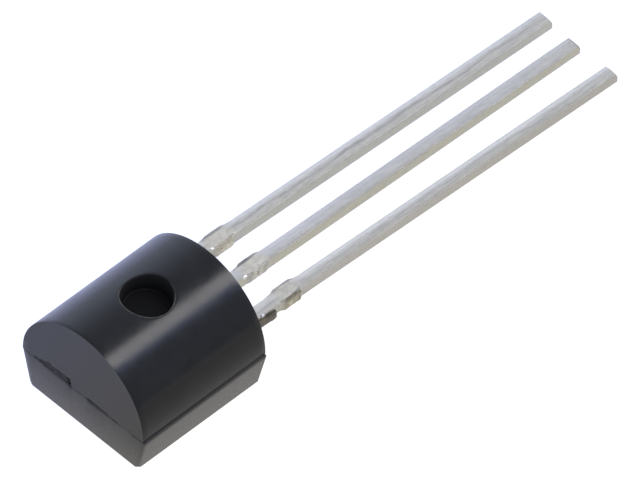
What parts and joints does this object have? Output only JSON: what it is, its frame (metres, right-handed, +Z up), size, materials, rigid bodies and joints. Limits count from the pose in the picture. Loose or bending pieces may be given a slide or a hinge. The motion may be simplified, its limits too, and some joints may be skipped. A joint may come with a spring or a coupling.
{
  "type": "to-92 transistor",
  "caption": "Small black moulded transistor package, round on one side and flat on the other, with straight tinned leads in a row for soldering into a circuit board.",
  "frame": {"origin": "centre of the flat face, which lies on the surface", "axes": "+Y along the leads from the body to their tips, +Z up from the flat face to the round face, +X across the leads from the emitter lead to the collector lead"},
  "size_m": [0.0046, 0.0183, 0.0035],
  "materials": {
    "epoxy": "dark grey moulded epoxy, satin on the round face and matt on the ends",
    "tin": "satin tin plate with marks along the leads",
    "silver_epoxy": "matt silver-filled adhesive",
    "silicon": "polished silicon",
    "gold": "bright drawn gold wire"
  },
  "bodies": {
    "root": {"package_body": "epoxy", "emitter_lead": "tin", "base_lead": "tin", "collector_lead": "tin", "die_attach": "silver_epoxy", "silicon_die": "silicon", "emitter_wire": "gold", "base_wire": "gold"}
  },
  "joints": []
}
